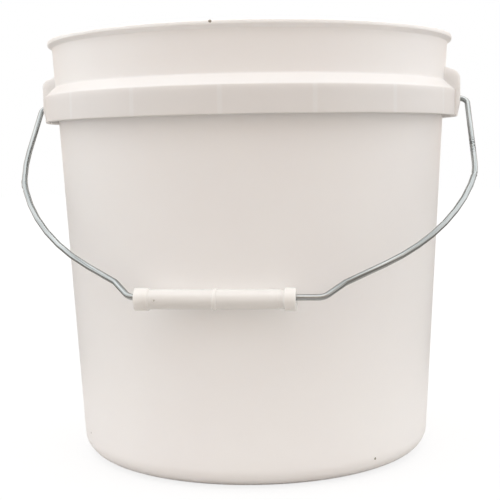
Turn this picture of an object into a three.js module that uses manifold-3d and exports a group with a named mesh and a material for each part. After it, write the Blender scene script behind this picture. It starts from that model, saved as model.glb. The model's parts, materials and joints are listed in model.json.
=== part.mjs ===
// Two gallon plastic pail with a wire bail and a loose plastic hand grip.
// Millimetres, +Z up. The origin is on the pail's axis at the ground, and the two ears lie on the X axis.

import * as THREE from 'three';
import { mergeVertices } from 'three/addons/utils/BufferGeometryUtils.js';
import Module from 'manifold-3d';

const wasm = await Module();
wasm.setup();

// Pail wall and floor
const pailHeight = 240;
const baseRadius = 102.3;        // outer wall carried down to the ground, before the corner is rounded
const wallTaper = 0.0539;        // gain in radius for each millimetre of height
const wallThickness = 2.2;
const baseCorner = 12;           // outside radius between wall and floor
const footRingWidth = 7;
const floorRecess = 2.5;         // height of the floor's underside above the foot ring
const floorThickness = 2.4;
const gatePadRadius = 9;         // raised disc under the floor where the plastic entered the mould
const gatePadHeight = 0.8;

// Neck and lip
const neckStep = 0.45;           // extra radius of the thicker wall above the shoulder
const lipRadius = 118;
const lipFaceHeight = 2.4;
const lipLandWidth = 1.6;        // flat ring on top that a lid seals on
const lipRounding = 1.1;
const lipUndercut = 1.8;         // height of the sloping underside of the lip

// Skirt band round the outside, joined to the wall only by its sloping shoulder
const bandStandout = 6.85646;    // from the wall, at the band's top edge, to the band's outside
const bandThickness = 1.9;
const bandBottom = 193.9;
const bandTop = 208.6;
const shoulderTop = 214.1;
const shoulderThickness = 2;
const bandEdgeRounding = 0.9;

// Ribs between the wall and the band
const ribPitches = 16;
const ribThickness = 1.5;
const ribSetback = 2.5;          // the ribs stop this far above the band's lower edge
const ribBite = 1;               // how far a rib runs into the wall and the band that it joins

// Ears
const pivotHeight = 204.3;
const earStandout = 2.5;         // how far the ears stand out past the band
const earHalfWidth = 19.5;
const earWall = 3.1;
const earSideWall = 2;
const earCrownHeight = 215;      // where the outer face starts to round over
const earCrownRadius = 5;
const earCrownSweep = 65;        // degrees
const earNeckHeight = 222;       // where the ear's top runs into the neck
const earHoleRadius = 2;
const pocketTop = 217;
const reliefTop = 201.5;         // the outer face slopes in from here down to the lower edge
const reliefDepth = 1.7;

// Bail wire, drawn flat: u runs along the pivot axis, v away from it. Its two arms are not bent alike
const wireDiameter = 3.2;
const armBend = 5;
const rightArmGap = 4;           // from the ear's face to the middle of the arm, beside the hole
const rightShoulderGap = 5.5;    // the same at the arm's upper bend
const rightShoulderV = 61.5;
const rightShoulderRadius = 50;
const rightSlopeU = 117.5;
const rightSlopeV = 106.6;
const rightSlopeRadius = 110;
const rightKinkU = 59.7;
const rightKinkV = 142.7;
const leftArmGap = 5.1;
const leftShoulderGap = 4.1;
const leftShoulderV = 57.2;
const leftShoulderRadius = 130;
const leftSlopeU = 113;
const leftSlopeV = 105.6;
const leftSlopeRadius = 126;
const leftKinkU = 58.3;
const leftKinkV = 142.1;
const kinkRadius = 3.4;
const seatBendU = 49.4;
const seatBendRadius = 7.3;
const bailReach = 152.4;         // from the pivot axis to the straight stretch that carries the grip
const headRadius = 2.9;
const headLength = 2.4;
const headNoseRadius = 1.5;
const headNoseLength = 1.2;
const headPlay = 0.9;            // between the head and the inside of the ear

// Hand grip
const gripLength = 82;
const gripRadius = 5.05;
const gripBore = 5.8;
const gripSag = 1;               // the grip's axis hangs this far below the wire's
const gripCollarRadius = 5.85;
const leftCollarLength = 6.8;
const rightCollarLength = 5.6;
const rightGrooveLength = 2.4;   // waist beside the right collar
const grooveDepth = 0.35;
const middleRingRadius = 5.65;
const middleRingLength = 2.4;
const gripRampLength = 0.9;
const gripOverrun = 0.2;         // how far the grip has slid onto the bend at its left end
const restGap = 0.3;             // between the grip and the wall that it leans on

// Facets
const turnSegments = 96;
const smallSegments = 24;
const wireSides = 12;
const degreesPerStation = 12;
const overshoot = 5;             // how far a cutting solid runs past what it cuts

const degrees = Math.PI / 180;
const wireRadius = wireDiameter / 2;

const wallRadiusAt = (z) => baseRadius + wallTaper * z;

const bandRadius = wallRadiusAt(bandTop) + bandStandout;
const bandInner = bandRadius - bandThickness;
const earRadius = bandRadius + earStandout;
const earInner = earRadius - earWall;

// Solids

function solidFrom(geometry) {
  geometry.deleteAttribute('normal');
  geometry.deleteAttribute('uv');
  const merged = mergeVertices(geometry, 1e-5);
  return new wasm.Manifold(new wasm.Mesh({
    numProp: 3,
    vertProperties: new Float32Array(merged.attributes.position.array),
    triVerts: new Uint32Array(merged.index.array),
  }));
}

function geometryFrom(solid) {
  const mesh = solid.getMesh();
  const geometry = new THREE.BufferGeometry();
  geometry.setAttribute('position', new THREE.BufferAttribute(mesh.vertProperties, 3));
  geometry.setIndex(new THREE.BufferAttribute(mesh.triVerts, 1));
  geometry.computeVertexNormals();
  return geometry;
}

// Revolves an outline of [radius, height] points about the Z axis.
function turned(outline, segments) {
  const points = outline.map(([radius, height]) => new THREE.Vector2(radius, height));
  return new THREE.LatheGeometry(points, segments).rotateX(Math.PI / 2);
}

function turnedRing(outline) {
  return solidFrom(turned([...outline, outline[0]], turnSegments));
}

function boxBetween(low, high) {
  const size = high.map((value, axis) => value - low[axis]);
  const middle = high.map((value, axis) => (value + low[axis]) / 2);
  return solidFrom(new THREE.BoxGeometry(...size).translate(...middle));
}

// Points of an arc about a centre, both ends included, angles in degrees.
function arc([centreA, centreB], radius, from, to, steps) {
  return Array.from({ length: steps + 1 }, (unused, index) => {
    const angle = (from + ((to - from) * index) / steps) * degrees;
    return [centreA + radius * Math.cos(angle), centreB + radius * Math.sin(angle)];
  });
}

// Corner between a level floor and the sloping wall: the arc that touches both.
function cornerArc(radius, floorHeight, wallInset, steps) {
  const slope = Math.atan(wallTaper);
  const centreHeight = floorHeight + radius;
  const centreRadius = wallRadiusAt(centreHeight) - wallInset - radius / Math.cos(slope);
  return arc([centreRadius, centreHeight], radius, -90, -slope / degrees, steps);
}

// Pail body

function footOutline() {
  const corner = cornerArc(baseCorner, 0, 0, 6);
  const ringInner = corner[0][0] - footRingWidth;
  return [
    [0, floorRecess - gatePadHeight],
    [gatePadRadius, floorRecess - gatePadHeight],
    [gatePadRadius + gatePadHeight, floorRecess],
    [ringInner - floorRecess, floorRecess],
    [ringInner, 0],
    ...corner,
  ];
}

function bandOutline() {
  const channelTop = bandTop - shoulderThickness;
  const shoulderSlope = (shoulderTop - bandTop) / (bandRadius - wallRadiusAt(shoulderTop));
  const channelPeak = channelTop + shoulderSlope * (bandInner - wallRadiusAt(shoulderTop));
  return [
    [wallRadiusAt(channelPeak), channelPeak],
    [bandInner, channelTop],
    [bandInner, bandBottom],
    [bandRadius - bandEdgeRounding / 2, bandBottom],
    [bandRadius, bandBottom + bandEdgeRounding / 2],
    ...arc([bandRadius - bandEdgeRounding, bandTop - bandEdgeRounding], bandEdgeRounding, 0, 60, 3),
    [wallRadiusAt(shoulderTop) + neckStep, shoulderTop],
  ];
}

function lipOutline() {
  const faceBottom = pailHeight - lipFaceHeight;
  const neckTop = faceBottom - lipUndercut;
  const landOuter = lipRadius - lipRounding;
  return [
    [wallRadiusAt(neckTop) + neckStep, neckTop],
    [lipRadius, faceBottom],
    ...arc([landOuter, pailHeight - lipRounding], lipRounding, 0, 90, 3),
    [landOuter - lipLandWidth, pailHeight],
    [wallRadiusAt(neckTop) - wallThickness, pailHeight - lipRounding],
  ];
}

function insideOutline() {
  const floorTop = floorRecess + floorThickness;
  const corner = cornerArc(baseCorner - wallThickness, floorTop, wallThickness, 5);
  return [...corner.reverse(), [0, floorTop]];
}

function pailShell() {
  const outline = [...footOutline(), ...bandOutline(), ...lipOutline(), ...insideOutline()];
  return solidFrom(turned(outline, turnSegments));
}

// Radial ribs stand in the channel behind the band, apart from the two pitches that the ears take.
function channelRibs() {
  const ribs = [];
  for (let index = 0; index < ribPitches; index += 1) {
    if (index % (ribPitches / 2) === 0) continue;
    const low = bandBottom + ribSetback;
    const high = bandTop;
    const inner = wallRadiusAt(low) - ribBite;
    const outer = bandInner + ribBite;
    const rib = new THREE.BoxGeometry(outer - inner, ribThickness, high - low);
    rib.translate((outer + inner) / 2, 0, (high + low) / 2);
    rib.rotateZ((index / ribPitches) * 2 * Math.PI);
    ribs.push(solidFrom(rib));
  }
  return ribs;
}

function earBlock() {
  const insideWall = (z) => wallRadiusAt(z) - wallThickness / 2;
  const crown = arc([earRadius - earCrownRadius, earCrownHeight], earCrownRadius, 0, earCrownSweep, 5);
  return turnedRing([
    [insideWall(bandBottom), bandBottom],
    [earRadius - bandEdgeRounding / 2, bandBottom],
    [earRadius, bandBottom + bandEdgeRounding / 2],
    ...crown,
    [insideWall(earNeckHeight), earNeckHeight],
  ]);
}

// The wire's head turns in this pocket, which is open downwards.
function earPocket() {
  const floor = bandBottom - overshoot;
  return turnedRing([
    [wallRadiusAt(floor), floor],
    [earInner, floor],
    [earInner, earCrownHeight],
    [earInner - earWall, pocketTop],
    [wallRadiusAt(pocketTop) + neckStep, pocketTop],
  ]);
}

// Below the hole the outer face slopes in, so that the hanging wire clears it.
function earRelief() {
  const floor = bandBottom - overshoot;
  const slope = reliefDepth / (reliefTop - bandBottom);
  return turnedRing([
    [earRadius - slope * (reliefTop - floor), floor],
    [earRadius + overshoot, floor],
    [earRadius + overshoot, reliefTop],
    [earRadius, reliefTop],
  ]);
}

// Keeps the part of a ring that lies on one ear, between side faces parallel to the ear's axis.
function onEar(ring, side, halfWidth) {
  const near = earInner - 4 * earWall;
  const far = earRadius + 2 * overshoot;
  const low = [Math.min(side * near, side * far), -halfWidth, 0];
  const high = [Math.max(side * near, side * far), halfWidth, pailHeight];
  return ring.intersect(boxBetween(low, high));
}

function earHole(side) {
  const length = earWall + 2 * overshoot;
  const hole = new THREE.CylinderGeometry(earHoleRadius, earHoleRadius, length, smallSegments);
  hole.rotateZ(Math.PI / 2);
  hole.translate(side * (earInner + earWall / 2), 0, pivotHeight);
  return solidFrom(hole);
}

function pailBody() {
  let body = pailShell();
  for (const rib of channelRibs()) body = body.add(rib);
  for (const side of [-1, 1]) {
    body = body.add(onEar(earBlock(), side, earHalfWidth));
    body = body.subtract(onEar(earPocket(), side, earHalfWidth - earSideWall));
    body = body.subtract(onEar(earRelief(), side, earHalfWidth + overshoot));
    body = body.subtract(earHole(side));
  }
  return geometryFrom(body);
}

// Bail wire

// Corner points from the right head to the straight stretch, each with the radius that its bend has.
function rightRoute() {
  return [
    { u: earInner - headPlay - headLength / 2, v: 0, radius: 0 },
    { u: earRadius + rightArmGap, v: 0, radius: armBend },
    { u: earRadius + rightShoulderGap, v: rightShoulderV, radius: rightShoulderRadius },
    { u: rightSlopeU, v: rightSlopeV, radius: rightSlopeRadius },
    { u: rightKinkU, v: rightKinkV, radius: kinkRadius },
    { u: seatBendU, v: bailReach, radius: seatBendRadius },
  ];
}

// The same from the straight stretch to the left head.
function leftRoute() {
  return [
    { u: -seatBendU, v: bailReach, radius: seatBendRadius },
    { u: -leftKinkU, v: leftKinkV, radius: kinkRadius },
    { u: -leftSlopeU, v: leftSlopeV, radius: leftSlopeRadius },
    { u: -earRadius - leftShoulderGap, v: leftShoulderV, radius: leftShoulderRadius },
    { u: -earRadius - leftArmGap, v: 0, radius: armBend },
    { u: headPlay + headLength / 2 - earInner, v: 0, radius: 0 },
  ];
}

// Where a bend starts and ends on the two straight lines that it joins.
function bendAt(before, corner, after) {
  const middle = new THREE.Vector2(corner.u, corner.v);
  const incoming = new THREE.Vector2(corner.u - before.u, corner.v - before.v).normalize();
  const outgoing = new THREE.Vector2(after.u - corner.u, after.v - corner.v).normalize();
  const turn = Math.atan2(incoming.cross(outgoing), incoming.dot(outgoing));
  const setback = corner.radius * Math.tan(Math.abs(turn) / 2);
  const start = middle.clone().addScaledVector(incoming, -setback);
  const side = new THREE.Vector2(-incoming.y, incoming.x).multiplyScalar(Math.sign(turn) * corner.radius);
  return { start, centre: start.clone().add(side), incoming, turn, setback };
}

// Sections of the wire: one at each end of a straight run, and several round each bend.
function wireStations() {
  const route = [...rightRoute(), ...leftRoute()];
  const stations = [];
  const add = (point, tangent) => stations.push({
    point: new THREE.Vector3(point.x, 0, -point.y),
    tangent: new THREE.Vector3(tangent.x, 0, -tangent.y),
  });
  const heading = (from, to) => new THREE.Vector2(to.u - from.u, to.v - from.v).normalize();
  add(new THREE.Vector2(route[0].u, route[0].v), heading(route[0], route[1]));
  for (let index = 1; index < route.length - 1; index += 1) {
    const bend = bendAt(route[index - 1], route[index], route[index + 1]);
    const steps = Math.max(2, Math.ceil(Math.abs(bend.turn) / (degreesPerStation * degrees)));
    for (let step = 0; step <= steps; step += 1) {
      const angle = (bend.turn * step) / steps;
      add(bend.start.clone().rotateAround(bend.centre, angle), bend.incoming.clone().rotateAround(
        new THREE.Vector2(), angle));
    }
  }
  const last = route[route.length - 1];
  add(new THREE.Vector2(last.u, last.v), heading(route[route.length - 2], last));
  return stations;
}

class BentWire extends THREE.Curve {
  constructor(stations) {
    super();
    this.stations = stations;
  }

  stationAt(t) {
    return this.stations[Math.round(t * (this.stations.length - 1))];
  }

  getPoint(t, target = new THREE.Vector3()) {
    return target.copy(this.stationAt(t).point);
  }

  getPointAt(t, target) {
    return this.getPoint(t, target);
  }

  getTangentAt(t, target = new THREE.Vector3()) {
    return target.copy(this.stationAt(t).tangent);
  }
}

function roundSection(radius, sides) {
  const corners = arc([0, 0], radius, 0, 360 - 360 / sides, sides - 1);
  return new THREE.Shape(corners.map(([x, y]) => new THREE.Vector2(x, y)));
}

// The upset end that keeps the wire in its ear, nose towards the pail.
function wireHead(side) {
  const shoulder = earInner - headPlay;
  const head = new THREE.LatheGeometry([
    new THREE.Vector2(0, -shoulder),
    new THREE.Vector2(headRadius, -shoulder),
    new THREE.Vector2(headRadius, headLength - headNoseLength - shoulder),
    new THREE.Vector2(headNoseRadius, headLength - shoulder),
    new THREE.Vector2(0, headLength - shoulder),
  ], smallSegments);
  return solidFrom(head.rotateZ((side * Math.PI) / 2));
}

function bailWire() {
  const stations = wireStations();
  const wire = new THREE.ExtrudeGeometry(roundSection(wireRadius, wireSides), {
    steps: stations.length - 1,
    extrudePath: new BentWire(stations),
  });
  return geometryFrom(solidFrom(wire).add(wireHead(-1)).add(wireHead(1)));
}

// Hand grip

function gripGeometry() {
  const half = gripLength / 2;
  const bore = gripBore / 2;
  const waist = gripRadius - grooveDepth;
  const rightCollar = half - rightCollarLength;
  const groove = rightCollar - rightGrooveLength;
  const ring = middleRingLength / 2;
  const outline = [
    [bore, -half],
    [gripCollarRadius, -half],
    [gripCollarRadius, leftCollarLength - half],
    [gripRadius, leftCollarLength + gripRampLength - half],
    [gripRadius, -ring],
    [middleRingRadius, -ring / 2],
    [middleRingRadius, ring / 2],
    [gripRadius, ring],
    [gripRadius, groove - gripRampLength],
    [waist, groove],
    [waist, rightCollar - gripRampLength / 2],
    [gripCollarRadius, rightCollar],
    [gripCollarRadius, half],
    [bore, half],
  ];
  return solidFrom(turned([...outline, outline[0]], smallSegments));
}

// The straight stretch ends at the left seat bend, and the grip has slid against that bend.
function gripCentre() {
  const [seatCorner, kinkCorner] = leftRoute();
  const seat = bendAt({ u: 0, v: bailReach }, seatCorner, kinkCorner);
  return seatCorner.u + seat.setback - gripOverrun + gripLength / 2;
}

// Angle from straight down at which the grip's middle ring leans on the wall with the rest gap.
function restAngle() {
  const slope = Math.atan(wallTaper);
  const stretch = Math.hypot(1, wallTaper);
  const reach = wallRadiusAt(pivotHeight - gripSag) + (middleRingRadius + restGap) * stretch;
  return Math.asin(reach / (bailReach * stretch)) - slope;
}

// Assembly

const naturalPolyethylene = new THREE.MeshStandardMaterial({ color: 0xf0eeea, roughness: 0.42, metalness: 0 });
const galvanisedWire = new THREE.MeshStandardMaterial({ color: 0xb4b7b6, roughness: 0.34, metalness: 1 });
const gripPolyethylene = new THREE.MeshStandardMaterial({ color: 0xeceae5, roughness: 0.38, metalness: 0 });

function namedMesh(name, geometry, material) {
  const mesh = new THREE.Mesh(geometry, material);
  mesh.name = name;
  return mesh;
}

const straightDown = new THREE.Vector3(0, 0, -1).applyAxisAngle(new THREE.Vector3(1, 0, 0), restAngle());

const grip = namedMesh('hand_grip', geometryFrom(gripGeometry()), gripPolyethylene);
grip.rotation.y = Math.PI / 2;
grip.position.set(gripCentre(), 0, -bailReach).addScaledVector(straightDown, gripSag);

const bail = new THREE.Group();
bail.add(namedMesh('bail_wire', bailWire(), galvanisedWire), grip);
bail.rotation.x = -restAngle();
bail.position.z = pivotHeight;

const pail = new THREE.Group();
pail.add(namedMesh('pail_body', pailBody(), naturalPolyethylene), bail);

export default pail;
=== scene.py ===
import json
import math

import bmesh
import bpy
from mathutils import Matrix, Vector


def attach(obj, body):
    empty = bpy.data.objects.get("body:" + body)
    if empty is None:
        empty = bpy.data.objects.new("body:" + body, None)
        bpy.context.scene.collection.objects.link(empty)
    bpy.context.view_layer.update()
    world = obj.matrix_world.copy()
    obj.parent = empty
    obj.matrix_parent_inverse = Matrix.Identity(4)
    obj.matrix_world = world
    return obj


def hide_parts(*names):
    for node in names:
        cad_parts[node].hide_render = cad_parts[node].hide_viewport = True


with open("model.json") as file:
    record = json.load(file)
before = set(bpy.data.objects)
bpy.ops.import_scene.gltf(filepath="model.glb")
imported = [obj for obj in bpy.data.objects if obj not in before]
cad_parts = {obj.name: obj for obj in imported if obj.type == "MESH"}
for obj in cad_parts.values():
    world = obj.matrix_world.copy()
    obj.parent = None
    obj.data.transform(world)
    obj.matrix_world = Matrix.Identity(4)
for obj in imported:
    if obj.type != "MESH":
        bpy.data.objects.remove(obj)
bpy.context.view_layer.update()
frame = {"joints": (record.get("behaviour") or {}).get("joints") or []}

MM = 0.001

# Pail wall and floor, in millimetres
PAIL_HEIGHT = 240
BASE_RADIUS = 102.3
WALL_TAPER = 0.0539
WALL = 2.2
BASE_CORNER = 12
FOOT_RING_WIDTH = 7
FOOT_RING_SPREAD = 0.6
FLOOR_RECESS = 2.5
FLOOR = 2.4
GATE_PAD_RADIUS = 9
GATE_PAD_HEIGHT = 0.8

# Neck and lip
NECK_STEP = 0.45
LIP_RADIUS = 118
LIP_FACE = 2.4
LIP_LAND = 1.6
LIP_ROUNDING = 1.1
LIP_UNDERCUT = 1.8

# Skirt band and the ribs behind it
BAND_RADIUS = 120.4
BAND = 1.9
BAND_BOTTOM = 193.9
BAND_TOP = 208.6
SHOULDER_TOP = 214.1
SHOULDER = 2
RIB_PITCHES = 16
RIB = 1.5
RIB_SETBACK = 2.5
RIB_BITE = 1

# Ears
PIVOT_HEIGHT = 204.3
EAR_RADIUS = 122.9
EAR_HALF_WIDTH = 19.5
EAR_WALL = 3.1
EAR_SIDE_WALL = 2
EAR_CROWN_HEIGHT = 215
EAR_CROWN_RADIUS = 5
EAR_CROWN_SWEEP = 65
EAR_NECK_HEIGHT = 222
EAR_HOLE_RADIUS = 2
POCKET_TOP = 217
RELIEF_TOP = 201.5
RELIEF_DEPTH = 1.7
EAR_EDGE = 0.9
EAR_TURN = 30
EAR_TURN_STEPS = 24
CUT_OVERSHOOT = 5

# Bail wire: u along the pivot axis, v away from it, and each bend's radius
WIRE_RADIUS = 1.6
ARM_BEND = 5
RIGHT_ARM = ((126.9, 0, ARM_BEND), (128.4, 61.5, 50), (117.5, 106.6, 110), (59.7, 142.7, 3.4))
LEFT_ARM = ((128, 0, ARM_BEND), (127, 57.2, 130), (113, 105.6, 126), (58.3, 142.1, 3.4))
SEAT_BEND_U = 49.4
SEAT_BEND_RADIUS = 7.3
HEAD_RADIUS = 2.9
HEAD_LENGTH = 2.4
HEAD_NOSE_RADIUS = 1.5
HEAD_NOSE_LENGTH = 1.2
HEAD_PLAY = 0.9

# Hand grip
GRIP_LENGTH = 82
GRIP_RADIUS = 5.05
GRIP_BORE = 5.8
GRIP_SAG = 1
GRIP_COLLAR_RADIUS = 5.85
LEFT_COLLAR = 6.8
RIGHT_COLLAR = 5.6
RIGHT_GROOVE = 2.4
GROOVE_DEPTH = 0.35
MIDDLE_RING_RADIUS = 5.65
MIDDLE_RING = 2.4
GRIP_RAMP = 0.9

# Camera, found from the photograph: it stands to the right of the pail's front, as high as
# three quarters of the pail, and looks slightly down
CAMERA_DISTANCE = 650
CAMERA_HEIGHT = 175.5
CAMERA_SIDE_ANGLE = 7.18
CAMERA_PAN = -0.155
CAMERA_TILT_DOWN = 5.21
CAMERA_ROLL = -1.0
CAMERA_LENS = 77.8
CAMERA_SENSOR = 36

# Light tent: its strength low down and overhead, and between which sines of height it grows
TENT_STRENGTH = 1.46
TENT_TOP = 1.8
TENT_RISE = (0.4, 0.95)

# The colour that dims the tent before and behind, and between which cosines it comes in
TENT_DIM = "#c2b5ab"
TENT_DIM_SPAN = (0.2, 0.9)

# A softbox over the camera: its strength, its height in degrees and the cosines of its soft edge
SOFTBOX = 0.9
SOFTBOX_HEIGHT = 52
SOFTBOX_EDGE = (0.975, 0.985)

# Paper under the pail: where it starts and ends to give way to the darker floor, in metres
PAPER_EDGE = (0.17, 0.33)

# Where the skirt is painted whiter, as painted light shining through its thin plastic, and the half width
# and soft edge of each rib's painted light line, in radians
SKIRT_LOW = 190
SKIRT_HIGH = 223
RIB_LIGHT_LINE = (0.006, 0.014)

# Marks: dark specks on the pail (place and size), a scuff on the right arm and the grip's moulding mark
SPECKS = (((-4.3, -117.5, 239), 0.9), ((73.6, -71.8, 9.5), 0.8), ((-89, -52.2, 16), 0.5))
ARM_SCUFF = (128.6, -31.5, 176.5)
GATE_MARK = (-35.5, -118.8, 101.9)

# Fineness of the meshes
TURN_STEPS = 192
WIRE_SIDES = 20
LONGEST_STEP = 5


# Outlines

def rounded_route(corners, degrees_per_step=10):
    """Points along straight lines whose corners (a, b, radius) are rounded by arcs."""
    points = [Vector(corners[0][:2])]
    for before, corner, after in zip(corners, corners[1:], corners[2:]):
        middle = Vector(corner[:2])
        back = (Vector(before[:2]) - middle).normalized()
        ahead = (Vector(after[:2]) - middle).normalized()
        between = back.angle(ahead)
        turn = math.pi - between
        if corner[2] == 0 or turn < 1e-4:
            points.append(middle)
            continue
        centre = middle + (back + ahead).normalized() * (corner[2] / math.sin(between / 2))
        start = middle + back * (corner[2] / math.tan(between / 2)) - centre
        sign = math.copysign(1, (-back).cross(ahead))
        steps = max(2, math.ceil(math.degrees(turn) / degrees_per_step))
        for step in range(steps + 1):
            spoke = start.copy()
            spoke.rotate(Matrix.Rotation(sign * turn * step / steps, 2))
            points.append(centre + spoke)
    points.append(Vector(corners[-1][:2]))
    return points


def with_short_steps(points, longest):
    """The same route with points added so that no step is longer than the given length."""
    result = [points[0]]
    for start, end in zip(points, points[1:]):
        count = max(1, math.ceil((end - start).length / longest))
        result += [start.lerp(end, step / count) for step in range(1, count + 1)]
    return result


def wall_radius(height):
    return BASE_RADIUS + WALL_TAPER * height


def shell_outline():
    """The pail's section from the middle of its underside round the wall to the middle of its floor."""
    ring_outer = BASE_RADIUS - BASE_CORNER + FOOT_RING_SPREAD
    ring_inner = ring_outer - FOOT_RING_WIDTH
    neck_foot = wall_radius(SHOULDER_TOP) + NECK_STEP
    channel_top = BAND_TOP - SHOULDER
    slope = (SHOULDER_TOP - BAND_TOP) / (BAND_RADIUS - wall_radius(SHOULDER_TOP))
    channel_peak = channel_top + slope * (BAND_RADIUS - BAND - wall_radius(SHOULDER_TOP))
    face_bottom = PAIL_HEIGHT - LIP_FACE
    neck_top = face_bottom - LIP_UNDERCUT
    land_inner = LIP_RADIUS - LIP_ROUNDING - LIP_LAND
    floor_top = FLOOR_RECESS + FLOOR
    return [
        (0, FLOOR_RECESS - GATE_PAD_HEIGHT, 0),
        (GATE_PAD_RADIUS, FLOOR_RECESS - GATE_PAD_HEIGHT, 0.3),
        (GATE_PAD_RADIUS + GATE_PAD_HEIGHT, FLOOR_RECESS, 0.5),
        (ring_inner - FLOOR_RECESS, FLOOR_RECESS, 1.5),
        (ring_inner, 0, 0.8),
        (BASE_RADIUS, 0, BASE_CORNER),
        (wall_radius(channel_peak), channel_peak, 0.7),
        (BAND_RADIUS - BAND, channel_top, 0.8),
        (BAND_RADIUS - BAND, BAND_BOTTOM, 0.5),
        (BAND_RADIUS, BAND_BOTTOM, 0.5),
        (BAND_RADIUS, BAND_TOP, 1.3),
        (neck_foot, SHOULDER_TOP, 1.2),
        (wall_radius(neck_top) + NECK_STEP, neck_top, 0.8),
        (LIP_RADIUS, face_bottom, 0.5),
        (LIP_RADIUS, PAIL_HEIGHT, LIP_ROUNDING),
        (land_inner, PAIL_HEIGHT, 0.5),
        (wall_radius(neck_top) - WALL, PAIL_HEIGHT - LIP_ROUNDING, 0.6),
        (wall_radius(floor_top) - WALL, floor_top, BASE_CORNER - WALL),
        (0, floor_top, 0),
    ]


# Meshes

def outline_edges(bm, points, closed):
    """Draws an outline of (radius, height) points, in millimetres, as edges in the XZ plane."""
    verts = [bm.verts.new((radius * MM, 0, height * MM)) for radius, height in points]
    pairs = list(zip(verts, verts[1:] + verts[:1] if closed else verts[1:]))
    return verts + [bm.edges.new(pair) for pair in pairs]


def spun(points):
    """A closed solid: an outline from axis to axis, turned once round the Z axis."""
    bm = bmesh.new()
    geometry = outline_edges(bm, points, closed=False)
    bmesh.ops.spin(bm, geom=geometry, axis=(0, 0, 1), cent=(0, 0, 0), angle=math.tau,
                   steps=TURN_STEPS, use_merge=True)
    bmesh.ops.remove_doubles(bm, verts=bm.verts, dist=1e-6)
    bmesh.ops.recalc_face_normals(bm, faces=bm.faces)
    return bm


def ear_ring(points, side, half_width, edge=0.0):
    """The part of a turned ring that lies on one ear, between faces parallel to the ear's axis."""
    bm = bmesh.new()
    geometry = outline_edges(bm, points, closed=True)
    sweep = math.radians(EAR_TURN)
    bmesh.ops.rotate(bm, verts=bm.verts, cent=(0, 0, 0), matrix=Matrix.Rotation(-sweep / 2, 3, "Z"))
    bmesh.ops.spin(bm, geom=geometry, axis=(0, 0, 1), cent=(0, 0, 0), angle=sweep,
                   steps=EAR_TURN_STEPS)
    for sign in (-1, 1):
        everything = bm.verts[:] + bm.edges[:] + bm.faces[:]
        bmesh.ops.bisect_plane(bm, geom=everything, plane_co=(0, sign * half_width * MM, 0),
                               plane_no=(0, sign, 0), clear_outer=True)
    rims = [e for e in bm.edges if e.is_boundary]
    bmesh.ops.holes_fill(bm, edges=rims, sides=0)
    bmesh.ops.remove_doubles(bm, verts=bm.verts, dist=1e-6)
    bmesh.ops.recalc_face_normals(bm, faces=bm.faces)
    if edge:
        sharp = [e for e in bm.edges if len(e.link_faces) == 2 and e.calc_face_angle() > math.radians(50)]
        bmesh.ops.bevel(bm, geom=sharp, offset=edge * MM, offset_type="OFFSET", segments=3,
                        profile=0.5, affect="EDGES", material=-1, clamp_overlap=True)
    if side < 0:
        bmesh.ops.rotate(bm, verts=bm.verts, cent=(0, 0, 0), matrix=Matrix.Rotation(math.pi, 3, "Z"))
    return bm


def as_object(bm, name):
    mesh = bpy.data.meshes.new(name)
    bm.to_mesh(mesh)
    bm.free()
    made = bpy.data.objects.new(name, mesh)
    bpy.context.scene.collection.objects.link(made)
    return made


def combine(target, tool, operation):
    """Joins the tool to the target, or cuts it away, and removes the tool."""
    change = target.modifiers.new(operation, "BOOLEAN")
    change.operation = operation
    change.solver = "EXACT"
    change.object = tool
    graph = bpy.context.evaluated_depsgraph_get()
    result = bpy.data.meshes.new_from_object(target.evaluated_get(graph))
    target.modifiers.clear()
    old = target.data
    target.data = result
    result.name = target.name
    bpy.data.meshes.remove(old)
    bpy.data.objects.remove(tool)


def smooth_by_angle(piece, angle=35):
    piece.data.shade_smooth()
    piece.data.set_sharp_from_angle(angle=math.radians(angle))


# Pail body

def ear_block_outline():
    crown_radius = EAR_RADIUS - EAR_CROWN_RADIUS
    crown = []
    for step in range(9):
        angle = math.radians(EAR_CROWN_SWEEP * step / 8)
        crown.append(Vector((crown_radius + EAR_CROWN_RADIUS * math.cos(angle),
                             EAR_CROWN_HEIGHT + EAR_CROWN_RADIUS * math.sin(angle))))
    foot = wall_radius(BAND_BOTTOM) - WALL / 2
    neck = wall_radius(EAR_NECK_HEIGHT) - WALL / 2
    return [Vector((foot, BAND_BOTTOM)), Vector((EAR_RADIUS, BAND_BOTTOM)), *crown,
            Vector((neck, EAR_NECK_HEIGHT))]


def ear_pocket_outline():
    low = BAND_BOTTOM - CUT_OVERSHOOT
    inner = EAR_RADIUS - EAR_WALL
    return [Vector(point) for point in (
        (wall_radius(low), low),
        (inner, low),
        (inner, EAR_CROWN_HEIGHT),
        (inner - EAR_WALL, POCKET_TOP),
        (wall_radius(POCKET_TOP) + NECK_STEP, POCKET_TOP),
    )]


def ear_relief_outline():
    low = BAND_BOTTOM - CUT_OVERSHOOT
    slope = RELIEF_DEPTH / (RELIEF_TOP - BAND_BOTTOM)
    return [Vector(point) for point in (
        (EAR_RADIUS - slope * (RELIEF_TOP - low), low),
        (EAR_RADIUS + CUT_OVERSHOOT, low),
        (EAR_RADIUS + CUT_OVERSHOOT, RELIEF_TOP),
        (EAR_RADIUS, RELIEF_TOP),
    )]


def ear_hole(side):
    bm = bmesh.new()
    bmesh.ops.create_cone(bm, cap_ends=True, segments=32, radius1=EAR_HOLE_RADIUS * MM,
                          radius2=EAR_HOLE_RADIUS * MM, depth=12 * MM)
    bmesh.ops.rotate(bm, verts=bm.verts, cent=(0, 0, 0), matrix=Matrix.Rotation(math.pi / 2, 3, "Y"))
    bmesh.ops.translate(bm, verts=bm.verts,
                        vec=(side * (EAR_RADIUS - EAR_WALL / 2) * MM, 0, PIVOT_HEIGHT * MM))
    return as_object(bm, "hole")


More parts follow.
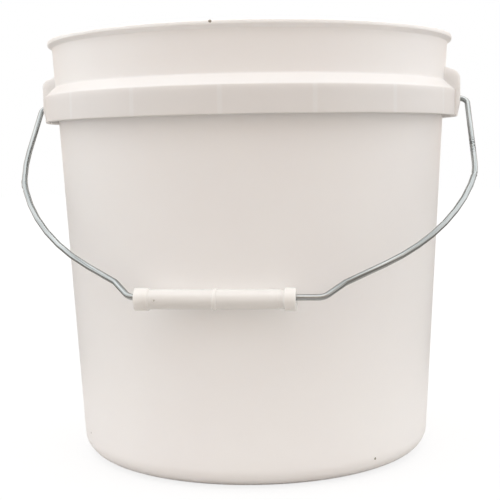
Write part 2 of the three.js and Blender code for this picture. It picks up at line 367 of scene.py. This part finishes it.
def channel_ribs():
    bm = bmesh.new()
    low = BAND_BOTTOM + RIB_SETBACK
    inner = wall_radius(low) - RIB_BITE
    outer = BAND_RADIUS - BAND + RIB_BITE
    for index in range(RIB_PITCHES):
        if index % (RIB_PITCHES // 2) == 0:
            continue
        place = (Matrix.Rotation(math.tau * index / RIB_PITCHES, 4, "Z")
                 @ Matrix.Translation(Vector((inner + outer, 0, low + BAND_TOP)) * MM / 2)
                 @ Matrix.Diagonal(Vector((outer - inner, RIB, BAND_TOP - low, 1 / MM)) * MM))
        bmesh.ops.create_cube(bm, size=1, matrix=place)
    return as_object(bm, "ribs")


def pail_body():
    outline = with_short_steps(rounded_route(shell_outline()), LONGEST_STEP)
    body = as_object(spun(outline), "pail_moulding")
    combine(body, channel_ribs(), "UNION")
    for side in (-1, 1):
        block = ear_ring(ear_block_outline(), side, EAR_HALF_WIDTH, edge=EAR_EDGE)
        combine(body, as_object(block, "block"), "UNION")
        pocket = ear_ring(ear_pocket_outline(), side, EAR_HALF_WIDTH - EAR_SIDE_WALL)
        combine(body, as_object(pocket, "pocket"), "DIFFERENCE")
        relief = ear_ring(ear_relief_outline(), side, EAR_HALF_WIDTH + CUT_OVERSHOOT)
        combine(body, as_object(relief, "relief"), "DIFFERENCE")
        combine(body, ear_hole(side), "DIFFERENCE")
    smooth_by_angle(body)
    return body


# Bail wire and grip

JOINTS = {joint["name"]: joint for joint in frame["joints"]}
GRIP_AXIS = Vector(JOINTS["grip_spin"]["pos_m"])
PIVOT = Vector(JOINTS["bail_swing"]["pos_m"])
STRAIGHT = GRIP_AXIS + Vector((0, 0, GRIP_SAG * MM))
BAIL_REACH = (STRAIGHT - PIVOT).yz.length / MM
BAIL_LEAN = math.atan2(PIVOT.y - STRAIGHT.y, PIVOT.z - STRAIGHT.z)
BAIL_PLACE = Matrix.Translation(PIVOT) @ Matrix.Rotation(-BAIL_LEAN, 4, "X")


def bail_route():
    head_end = EAR_RADIUS - EAR_WALL - HEAD_PLAY
    head, seat = (head_end, 0, 0), (SEAT_BEND_U, BAIL_REACH, SEAT_BEND_RADIUS)
    left = [(-u, v, radius) for u, v, radius in (head, *LEFT_ARM, seat)]
    return rounded_route([head, *RIGHT_ARM, seat, *reversed(left)], degrees_per_step=6)


def head_sections():
    """Places along the wire's end and the radius at each: a chamfered nose, a drum and a square shoulder."""
    return [(-HEAD_LENGTH, HEAD_NOSE_RADIUS), (HEAD_NOSE_LENGTH - HEAD_LENGTH, HEAD_RADIUS),
            (-0.25, HEAD_RADIUS), (0, HEAD_RADIUS - 0.25), (0, WIRE_RADIUS + 0.3), (0.3, WIRE_RADIUS)]


def wire_sections():
    """Each section's place in the bail's plane, its heading and its radius."""
    route = with_short_steps(bail_route(), LONGEST_STEP)
    sections = []
    start, end = route[0], route[-1]
    ahead, behind = (route[1] - start).normalized(), (end - route[-2]).normalized()
    for place, radius in head_sections():
        sections.append((start + ahead * place, ahead, radius))
    for before, point, after in zip(route, route[1:], route[2:]):
        heading = ((point - before).normalized() + (after - point).normalized()).normalized()
        sections.append((point, heading, WIRE_RADIUS))
    for place, radius in reversed(head_sections()):
        sections.append((end - behind * place, behind, radius))
    return sections


def bail_wire():
    bm = bmesh.new()
    run = bm.verts.layers.float_vector.new("run")
    ring = bmesh.ops.create_circle(bm, cap_ends=True, segments=WIRE_SIDES, radius=1)["verts"]
    placed = Matrix.Identity(4)
    length = 0
    previous = None
    for point, heading, radius in wire_sections():
        if previous is not None:
            length += (point - previous).length
            edges = [e for e in bm.edges if e.verts[0] in ring and e.verts[1] in ring]
            made = bmesh.ops.extrude_edge_only(bm, edges=edges)["geom"]
            ring = [v for v in made if isinstance(v, bmesh.types.BMVert)]
        previous = point
        tangent = Vector((heading.x, 0, -heading.y))
        across = Vector((0, 1, 0))
        axes = Matrix((across, tangent.cross(across), tangent)).transposed().to_4x4()
        target = Matrix.Translation(Vector((point.x, 0, -point.y)) * MM) @ axes
        target = target @ Matrix.Diagonal((radius * MM, radius * MM, MM, 1))
        bmesh.ops.transform(bm, matrix=target @ placed.inverted(), verts=ring)
        placed = target
        for vert in ring:
            local = target.inverted() @ vert.co
            vert[run] = (local.x * WIRE_RADIUS * MM, local.y * WIRE_RADIUS * MM, length * MM)
    bmesh.ops.contextual_create(bm, geom=[e for e in bm.edges if e.is_boundary])
    bmesh.ops.transform(bm, matrix=BAIL_PLACE, verts=bm.verts)
    bmesh.ops.recalc_face_normals(bm, faces=bm.faces)
    wire = as_object(bm, "zinc_bail")
    smooth_by_angle(wire)
    return wire


def grip_outline():
    half = GRIP_LENGTH / 2
    bore = GRIP_BORE / 2
    waist = GRIP_RADIUS - GROOVE_DEPTH
    collar = half - RIGHT_COLLAR
    groove = collar - RIGHT_GROOVE
    ring = MIDDLE_RING / 2
    return [
        (bore, -half + 0.5, 0), (bore, -half, 0.3),
        (GRIP_COLLAR_RADIUS, -half, 0.5),
        (GRIP_COLLAR_RADIUS, LEFT_COLLAR - half, 0.6),
        (GRIP_RADIUS, LEFT_COLLAR + GRIP_RAMP - half, 0.6),
        (GRIP_RADIUS, -ring, 0.3), (MIDDLE_RING_RADIUS, -ring / 2, 0.4),
        (MIDDLE_RING_RADIUS, ring / 2, 0.4), (GRIP_RADIUS, ring, 0.3),
        (GRIP_RADIUS, groove - GRIP_RAMP, 0.4), (waist, groove, 0.3),
        (waist, collar - GRIP_RAMP / 2, 0.2), (GRIP_COLLAR_RADIUS, collar, 0.3),
        (GRIP_COLLAR_RADIUS, half, 0.5),
        (bore, half, 0.3), (bore, half - 0.5, 0),
    ]


def hand_grip():
    bm = bmesh.new()
    outline = rounded_route(grip_outline(), degrees_per_step=20)
    geometry = outline_edges(bm, with_short_steps(outline, LONGEST_STEP), closed=True)
    bmesh.ops.spin(bm, geom=geometry, axis=(0, 0, 1), cent=(0, 0, 0), angle=math.tau, steps=64,
                   use_merge=True)
    bmesh.ops.remove_doubles(bm, verts=bm.verts, dist=1e-6)
    along_x = Matrix.Rotation(-BAIL_LEAN, 4, "X") @ Matrix.Rotation(math.pi / 2, 4, "Y")
    bmesh.ops.transform(bm, matrix=Matrix.Translation(GRIP_AXIS) @ along_x, verts=bm.verts)
    bmesh.ops.recalc_face_normals(bm, faces=bm.faces)
    grip = as_object(bm, "grip_tube")
    smooth_by_angle(grip)
    return grip


# Materials

def linear(hex_colour):
    """An sRGB hex colour as linear values with full alpha."""
    channels = [int(hex_colour[place:place + 2], 16) / 255 for place in (1, 3, 5)]
    return tuple(c / 12.92 if c <= 0.04045 else ((c + 0.055) / 1.055) ** 2.4 for c in channels) + (1.0,)


def add(tree, kind, inputs=None, **settings):
    """Adds a node, sets its properties, and gives its inputs values or links."""
    made = tree.nodes.new(kind)
    for name, value in settings.items():
        setattr(made, name, value)
    for name, value in (inputs or {}).items():
        if isinstance(value, bpy.types.NodeSocket):
            tree.links.new(value, made.inputs[name])
        else:
            made.inputs[name].default_value = value
    return made


def new_material(name):
    material = bpy.data.materials.new(name)
    material.use_nodes = True
    material.node_tree.nodes.clear()
    return material, material.node_tree


def moulded_polyethylene(name, roughness, tones):
    """High density polyethylene, injection moulded: satin and waxy, with light soaking in at thin edges."""
    material, tree = new_material(name)
    place = add(tree, "ShaderNodeTexCoord").outputs["Object"]
    clouds = add(tree, "ShaderNodeTexNoise", {"Vector": place, "Scale": 1 / (60 * MM), "Detail": 3})
    tone = add(tree, "ShaderNodeValToRGB", {"Fac": clouds.outputs["Fac"]})
    set_ramp(tone, 0.3, tones[0], 0.7, tones[1])
    grain = add(tree, "ShaderNodeTexNoise", {"Vector": place, "Scale": 1 / (0.8 * MM), "Detail": 2})
    shine = add(tree, "ShaderNodeMapRange", {
        "Value": grain.outputs["Fac"], "To Min": roughness - 0.05, "To Max": roughness + 0.07})
    ripple = add(tree, "ShaderNodeBump", {
        "Height": clouds.outputs["Fac"], "Strength": 0.35, "Distance": 0.4 * MM})
    relief = add(tree, "ShaderNodeBump", {
        "Height": grain.outputs["Fac"], "Strength": 0.12, "Distance": 0.05 * MM,
        "Normal": ripple.outputs["Normal"]})
    surface = add(tree, "ShaderNodeBsdfPrincipled", {
        "Base Color": tone.outputs["Color"], "Roughness": shine.outputs["Result"],
        "IOR": 1.54, "Subsurface Weight": 0.75, "Subsurface Radius": (1.0, 0.97, 0.94),
        "Subsurface Scale": 5 * MM, "Normal": relief.outputs["Normal"]})
    add(tree, "ShaderNodeOutputMaterial", {"Surface": surface.outputs["BSDF"]})
    return material, surface


def set_ramp(ramp, low, low_colour, high, high_colour):
    """Gives a two-stop colour ramp its places and colours."""
    for stop, position, colour in zip(ramp.color_ramp.elements, (low, high), (low_colour, high_colour)):
        stop.position = position
        stop.color = linear(colour)


def laid_over(tree, colour, mask, paint, blend="MULTIPLY"):
    """The colour with a paint laid over it where the mask is 1."""
    mixed = add(tree, "ShaderNodeMix", {"Factor": mask}, data_type="RGBA", blend_type=blend)
    tree.links.new(colour, mixed.inputs[6])
    mixed.inputs[7].default_value = linear(paint)
    return mixed.outputs[2]


def between(tree, value, low, high, blur):
    """1 where the value lies between two limits, falling to 0 over the blur on both sides."""
    rise = add(tree, "ShaderNodeMapRange", {
        "Value": value, "From Min": low - blur, "From Max": low}, interpolation_type="SMOOTHSTEP")
    fall = add(tree, "ShaderNodeMapRange", {
        "Value": value, "From Min": high, "From Max": high + blur, "To Min": 1, "To Max": 0},
        interpolation_type="SMOOTHSTEP")
    return add(tree, "ShaderNodeMath", {0: rise.outputs["Result"], 1: fall.outputs["Result"]},
               operation="MULTIPLY").outputs["Value"]


def both(tree, first, second):
    return add(tree, "ShaderNodeMath", {0: first, 1: second}, operation="MULTIPLY").outputs["Value"]


def distance(tree, place, point):
    """How far a place is from a point given in millimetres."""
    there = tuple(c * MM for c in point)
    return add(tree, "ShaderNodeVectorMath", {0: place, 1: there}, operation="DISTANCE").outputs["Value"]


def speck(tree, place, centre, size):
    """1 within a ragged spot round one point of the surface."""
    wobble = add(tree, "ShaderNodeTexNoise", {"Vector": place, "Scale": 1 / (0.6 * MM), "Detail": 2})
    ragged = add(tree, "ShaderNodeMath", {
        0: wobble.outputs["Fac"], 1: size * MM, 2: distance(tree, place, centre)}, operation="MULTIPLY_ADD")
    return add(tree, "ShaderNodeMapRange", {
        "Value": ragged.outputs["Value"], "From Min": size * 1.3 * MM, "From Max": size * 1.6 * MM,
        "To Min": 1, "To Max": 0}).outputs["Result"]


def pail_polyethylene():
    """The pail's own, with painted light: whiter on its skirt and ears as painted light shining through,
    painted shade on the band with paler painted-light lines over the ribs behind it, and specks of dirt.
    """
    material, surface = moulded_polyethylene("moulded_polyethylene", 0.3, ("#f4f3f3", "#f6f6f5"))
    tree = material.node_tree
    colour = surface.inputs["Base Color"].links[0].from_socket
    place = add(tree, "ShaderNodeTexCoord").outputs["Object"]
    parts = add(tree, "ShaderNodeSeparateXYZ", {"Vector": place})
    flat = add(tree, "ShaderNodeVectorMath", {0: place, 1: (1, 1, 0)}, operation="MULTIPLY")
    from_axis = add(tree, "ShaderNodeVectorMath", {0: flat.outputs["Vector"]}, operation="LENGTH")
    radius = from_axis.outputs["Value"]
    on_band = both(tree, between(tree, radius, (BAND_RADIUS - 1) * MM, (BAND_RADIUS + 0.6) * MM, 0.3 * MM),
                   between(tree, parts.outputs["Z"], SKIRT_LOW * MM, (BAND_TOP - 0.6) * MM, 0.8 * MM))
    bearing = add(tree, "ShaderNodeMath", {
        0: parts.outputs["Y"], 1: parts.outputs["X"]}, operation="ARCTAN2").outputs["Value"]
    from_rib = add(tree, "ShaderNodeMath", {
        0: bearing, 1: math.tau / RIB_PITCHES / 2}, operation="PINGPONG").outputs["Value"]
    over_rib = add(tree, "ShaderNodeMapRange", {
        "Value": from_rib, "From Min": RIB_LIGHT_LINE[0], "From Max": RIB_LIGHT_LINE[1], "To Min": 1, "To Max": 0})
    band_painted_shade = add(tree, "ShaderNodeMapRange", {
        "Value": over_rib.outputs["Result"], "To Min": 1, "To Max": 0.4})
    untapered = add(tree, "ShaderNodeMath", {0: parts.outputs["Z"], 1: -WALL_TAPER, 2: radius},
                    operation="MULTIPLY_ADD").outputs["Value"]
    off_wall = between(tree, untapered, (BASE_RADIUS + 1.2) * MM, (BASE_RADIUS + 15) * MM, 0.7 * MM)
    at_skirt = between(tree, parts.outputs["Z"], SKIRT_LOW * MM, SKIRT_HIGH * MM, 1 * MM)
    # Painted light: the band, shoulder and ears are mixed towards a whiter colour, in place of light from
    # the bright sides shining through the thin plastic.
    colour = laid_over(tree, colour, both(tree, off_wall, at_skirt), "#fdfcfb", blend="MIX")
    # Painted shade and light: the band is multiplied darker, in place of the double wall letting less light
    # through, and stays paler in a line over each rib, in place of light carried through the ribs.
    colour = laid_over(tree, colour, both(tree, on_band, band_painted_shade.outputs["Result"]), "#f9f7f6")
    for centre, size in SPECKS:
        colour = laid_over(tree, colour, speck(tree, place, centre, size), "#8f8a80")
    tree.links.new(colour, surface.inputs["Base Color"])
    return material


def grip_polyethylene():
    """The grip's own: a little glossier, with the small round mark where the plastic entered the mould."""
    material, surface = moulded_polyethylene("grip_polyethylene", 0.22, ("#f0efec", "#f3f2ef"))
    tree = material.node_tree
    place = add(tree, "ShaderNodeTexCoord").outputs["Object"]
    apart = distance(tree, place, GATE_MARK)
    surface.inputs["Subsurface Weight"].default_value = 0.5
    ring = between(tree, apart, 0.8 * MM, 1.0 * MM, 0.25 * MM)
    dimple = between(tree, apart, 0, 0.3 * MM, 0.3 * MM)
    colour = surface.inputs["Base Color"].links[0].from_socket
    colour = laid_over(tree, colour, dimple, "#d2cfca")
    tree.links.new(colour, surface.inputs["Base Color"])
    bump = add(tree, "ShaderNodeBump", {
        "Height": ring, "Strength": 1.0, "Distance": 0.25 * MM,
        "Normal": surface.inputs["Normal"].links[0].from_socket})
    tree.links.new(bump.outputs["Normal"], surface.inputs["Normal"])
    return material


def galvanised_steel():
    """Drawn steel wire with a zinc coating: pale and bright, streaked along its length, with one scuff."""
    material, tree = new_material("galvanised_steel")
    run = add(tree, "ShaderNodeAttribute", attribute_name="run").outputs["Vector"]
    streaks_place = add(tree, "ShaderNodeMapping", {
        "Vector": run, "Scale": (1 / (0.7 * MM), 1 / (0.7 * MM), 1 / (25 * MM))})
    streaks = add(tree, "ShaderNodeTexNoise", {
        "Vector": streaks_place.outputs["Vector"], "Scale": 1, "Detail": 4})
    tone = add(tree, "ShaderNodeValToRGB", {"Fac": streaks.outputs["Fac"]})
    set_ramp(tone, 0.3, "#878c8c", 0.7, "#c4c8c8")
    shine = add(tree, "ShaderNodeMapRange", {
        "Value": streaks.outputs["Fac"], "To Min": 0.16, "To Max": 0.32})
    place = add(tree, "ShaderNodeTexCoord").outputs["Object"]
    near_scuff = between(tree, distance(tree, place, ARM_SCUFF), 0, 3 * MM, 5 * MM)
    flecks = add(tree, "ShaderNodeTexNoise", {"Vector": place, "Scale": 1 / (0.9 * MM), "Detail": 2})
    bare = add(tree, "ShaderNodeMapRange", {
        "Value": flecks.outputs["Fac"], "From Min": 0.5, "From Max": 0.58}).outputs["Result"]
    colour = laid_over(tree, tone.outputs["Color"], both(tree, near_scuff, bare), "#6d6f6f")
    surface = add(tree, "ShaderNodeBsdfPrincipled", {
        "Base Color": colour, "Metallic": 1.0, "Roughness": shine.outputs["Result"]})
    add(tree, "ShaderNodeOutputMaterial", {"Surface": surface.outputs["BSDF"]})
    return material


def dress(piece, material, body, node):
    piece.data.materials.clear()
    piece.data.materials.append(material)
    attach(piece, body)
    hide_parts(node)


# Camera, floor and light

def photo_camera():
    side = math.radians(CAMERA_SIDE_ANGLE)
    heading = math.radians(CAMERA_PAN) - side
    tilt = math.radians(CAMERA_TILT_DOWN)
    roll = math.radians(CAMERA_ROLL)
    right = Vector((math.cos(heading), -math.sin(heading), 0))
    ahead = Vector((math.sin(heading) * math.cos(tilt), math.cos(heading) * math.cos(tilt), -math.sin(tilt)))
    up = right.cross(ahead)
    rolled_right = right * math.cos(roll) + up * math.sin(roll)
    rolled_up = up * math.cos(roll) - right * math.sin(roll)
    data = bpy.data.cameras.new("photo_camera")
    data.lens = CAMERA_LENS
    data.sensor_width = CAMERA_SENSOR
    data.clip_start = 0.05
    camera = bpy.data.objects.new("photo_camera", data)
    away = Vector((math.sin(side), -math.cos(side), 0)) * CAMERA_DISTANCE
    place = (away + Vector((0, 0, CAMERA_HEIGHT))) * MM
    axes = Matrix((rolled_right, rolled_up, -ahead)).transposed().to_4x4()
    camera.matrix_world = Matrix.Translation(place) @ axes
    bpy.context.scene.collection.objects.link(camera)
    bpy.context.scene.camera = camera


def white_floor():
    """White paper on a dim floor, seen as white with a faint shadow, and not seen at all from below."""
    bm = bmesh.new()
    bmesh.ops.create_circle(bm, cap_ends=True, segments=64, radius=4)
    floor = as_object(bm, "floor")
    material, tree = new_material("white_paper_floor")
    path = add(tree, "ShaderNodeLightPath")
    place = add(tree, "ShaderNodeTexCoord").outputs["Object"]
    away = add(tree, "ShaderNodeVectorMath", {0: place}, operation="LENGTH").outputs["Value"]
    sheet = add(tree, "ShaderNodeValToRGB", {"Fac": away})
    set_ramp(sheet, PAPER_EDGE[0], "#c9c6c3", PAPER_EDGE[1], "#8a8681")
    paper = add(tree, "ShaderNodeBsdfDiffuse", {"Color": sheet.outputs["Color"]})
    paper_seen = add(tree, "ShaderNodeBsdfDiffuse", {"Color": linear("#f4f4f4")})
    seen_white = add(tree, "ShaderNodeEmission", {"Color": (1, 1, 1, 1), "Strength": 1.0})
    seen = add(tree, "ShaderNodeMixShader", {
        "Fac": 0.8, 1: paper_seen.outputs["BSDF"], 2: seen_white.outputs["Emission"]})
    mix = add(tree, "ShaderNodeMixShader", {
        "Fac": path.outputs["Is Camera Ray"], 1: paper.outputs["BSDF"], 2: seen.outputs["Shader"]})
    from_below = add(tree, "ShaderNodeNewGeometry").outputs["Backfacing"]
    clear = add(tree, "ShaderNodeBsdfTransparent")
    one_sided = add(tree, "ShaderNodeMixShader", {
        "Fac": from_below, 1: mix.outputs["Shader"], 2: clear.outputs["BSDF"]})
    add(tree, "ShaderNodeOutputMaterial", {"Surface": one_sided.outputs["Shader"]})
    floor.data.materials.append(material)


def tent_light():
    """A white tent, brightest at both sides and overhead, dimmer before and behind, seen as plain white."""
    world = bpy.data.worlds.new("tent")
    bpy.context.scene.world = world
    world.use_nodes = True
    tree = world.node_tree
    tree.nodes.clear()
    way = add(tree, "ShaderNodeTexCoord").outputs["Generated"]
    side = math.radians(CAMERA_SIDE_ANGLE)
    to_camera = (math.sin(side), -math.cos(side), 0)
    facing = add(tree, "ShaderNodeVectorMath", {0: way, 1: to_camera}, operation="DOT_PRODUCT")
    either_way = add(tree, "ShaderNodeMath", {0: facing.outputs["Value"]}, operation="ABSOLUTE")
    opening = add(tree, "ShaderNodeMapRange", {
        "Value": either_way.outputs["Value"], "From Min": TENT_DIM_SPAN[0], "From Max": TENT_DIM_SPAN[1]},
        interpolation_type="SMOOTHSTEP")
    tent = add(tree, "ShaderNodeMix", {"Factor": opening.outputs["Result"]}, data_type="RGBA")
    tent.inputs[6].default_value = (1, 1, 1, 1)
    tent.inputs[7].default_value = linear(TENT_DIM)
    height = add(tree, "ShaderNodeSeparateXYZ", {"Vector": way}).outputs["Z"]
    level = add(tree, "ShaderNodeMapRange", {
        "Value": height, "From Min": TENT_RISE[0], "From Max": TENT_RISE[1],
        "To Min": TENT_STRENGTH, "To Max": TENT_TOP},
        interpolation_type="SMOOTHSTEP")
    rise = math.radians(SOFTBOX_HEIGHT)
    to_box = (math.sin(side) * math.cos(rise), -math.cos(side) * math.cos(rise), math.sin(rise))
    from_box = add(tree, "ShaderNodeVectorMath", {0: way, 1: to_box}, operation="DOT_PRODUCT")
    box = add(tree, "ShaderNodeMapRange", {
        "Value": from_box.outputs["Value"], "From Min": SOFTBOX_EDGE[0], "From Max": SOFTBOX_EDGE[1],
        "To Max": SOFTBOX}, interpolation_type="SMOOTHSTEP")
    strength = add(tree, "ShaderNodeMath", {0: level.outputs["Result"], 1: box.outputs["Result"]})
    light = add(tree, "ShaderNodeBackground", {
        "Color": tent.outputs[2], "Strength": strength.outputs["Value"]})
    backdrop = add(tree, "ShaderNodeBackground", {"Color": (1, 1, 1, 1), "Strength": 1.0})
    path = add(tree, "ShaderNodeLightPath")
    mix = add(tree, "ShaderNodeMixShader", {
        "Fac": path.outputs["Is Camera Ray"],
        1: light.outputs["Background"], 2: backdrop.outputs["Background"]})
    add(tree, "ShaderNodeOutputWorld", {"Surface": mix.outputs["Shader"]})


bpy.context.scene.view_settings.view_transform = "Standard"
photo_camera()
white_floor()
tent_light()

dress(pail_body(), pail_polyethylene(), "pail", "pail_body")
dress(bail_wire(), galvanised_steel(), "bail", "bail_wire")
dress(hand_grip(), grip_polyethylene(), "grip", "hand_grip")
